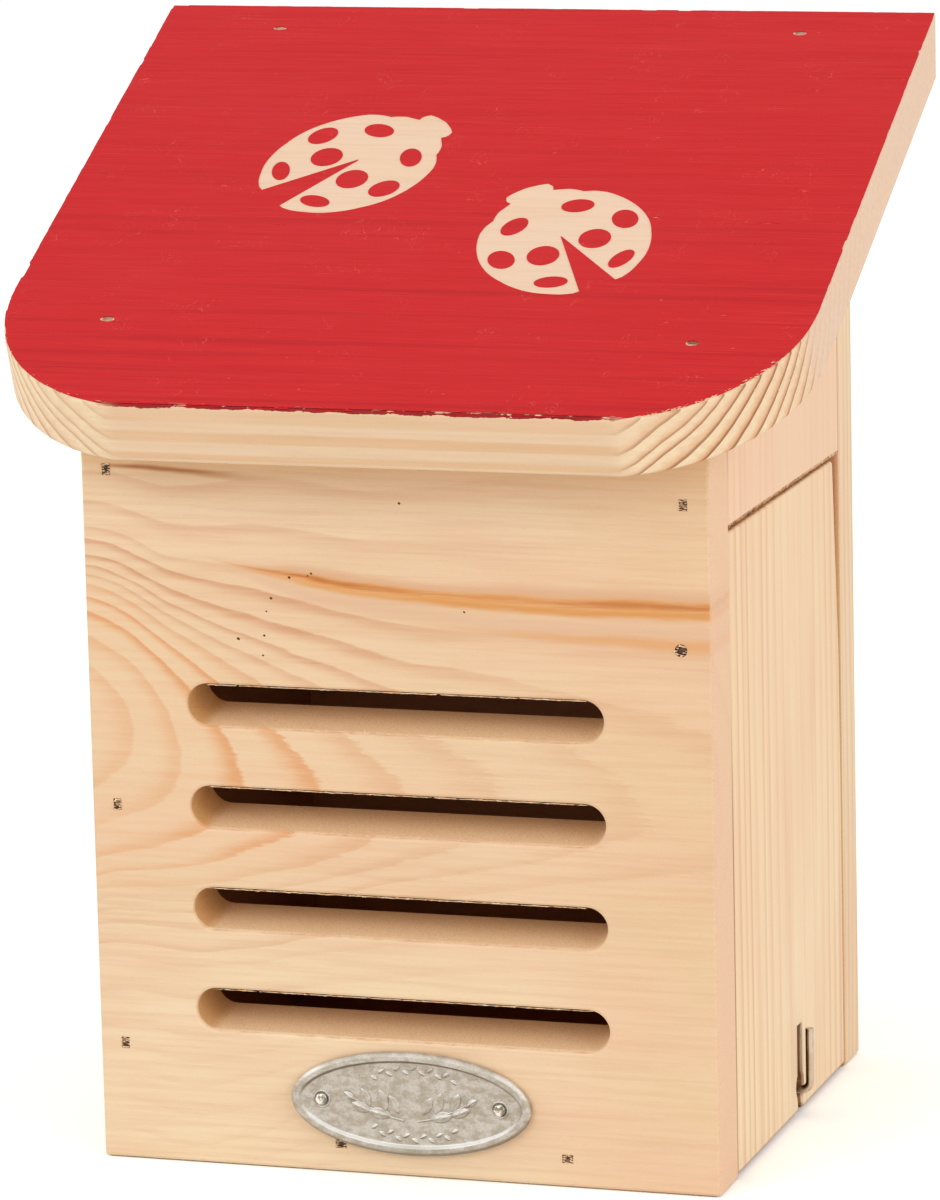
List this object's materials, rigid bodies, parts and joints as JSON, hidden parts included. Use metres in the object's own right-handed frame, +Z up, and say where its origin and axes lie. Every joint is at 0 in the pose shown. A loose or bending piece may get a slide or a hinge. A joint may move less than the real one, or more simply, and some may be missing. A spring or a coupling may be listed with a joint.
{
  "type": "ladybird house",
  "caption": "Pine ladybird house with a slotted front, a sloping red roof board and a swinging side door held by a turning wire hook.",
  "frame": {"origin": "under the middle of the outline, at the height of the boards' lower ends", "axes": "+Z up, the slotted front faces -Y, the door and its hook are on the +X side"},
  "size_m": [0.1738, 0.1357, 0.231],
  "materials": {
    "roof_pine": "pine, upper face in flat red paint with bare patches, sawn edges bare",
    "front_pine": "planed bare pine, grain across",
    "back_pine": "planed bare pine, grain across",
    "side_pine": "planed bare pine, grain upright",
    "floor_pine": "planed bare pine",
    "hook_wire": "plated wire, satin",
    "pivot_steel": "dull bare wire nail",
    "plate_zinc": "cast zinc, antiqued, satin rim",
    "plate_pin_steel": "polished domed heads",
    "brad_steel": "dull olive-brown coated steel",
    "roof_brad_steel": "bare steel, smeared with paint"
  },
  "bodies": {
    "house": {"roof_board": "roof_pine", "front_panel": "front_pine", "back_panel": "back_pine", "left_side_panel": "side_pine", "right_side_upper": "side_pine", "floor_board": "floor_pine", "door_pivot_nail_front": "pivot_steel", "door_pivot_nail_rear": "pivot_steel", "oval_plate": "plate_zinc", "plate_nail_left": "plate_pin_steel", "plate_nail_right": "plate_pin_steel", "front_brad_left_bottom": "brad_steel", "front_brad_left_middle": "brad_steel", "front_brad_left_top": "brad_steel", "front_brad_right_top": "brad_steel", "front_brad_floor_left": "brad_steel", "front_brad_floor_right": "brad_steel", "rear_brad_left_bottom": "brad_steel", "rear_brad_left_middle": "brad_steel", "rear_brad_left_top": "brad_steel", "rear_brad_right_top": "brad_steel", "rear_brad_floor_left": "brad_steel", "rear_brad_floor_right": "brad_steel", "roof_brad_front_left": "roof_brad_steel", "roof_brad_front_right": "roof_brad_steel", "roof_brad_back_left": "roof_brad_steel", "roof_brad_back_right": "roof_brad_steel"},
    "door": {"side_door": "side_pine"},
    "latch": {"latch_hook": "hook_wire"}
  },
  "joints": [
    {"name": "door_hinge", "type": "hinge", "parent": "house", "child": "door", "pos_m": [0.061, 0.0107, 0.11422], "axis": [0, -1, 0], "range_deg": [0, 147]},
    {"name": "hook_turn", "type": "hinge", "parent": "house", "child": "latch", "pos_m": [0.0675, 0.01649, 0.0054], "axis": [1, 0, 0], "range_deg": [-90, 90]}
  ]
}
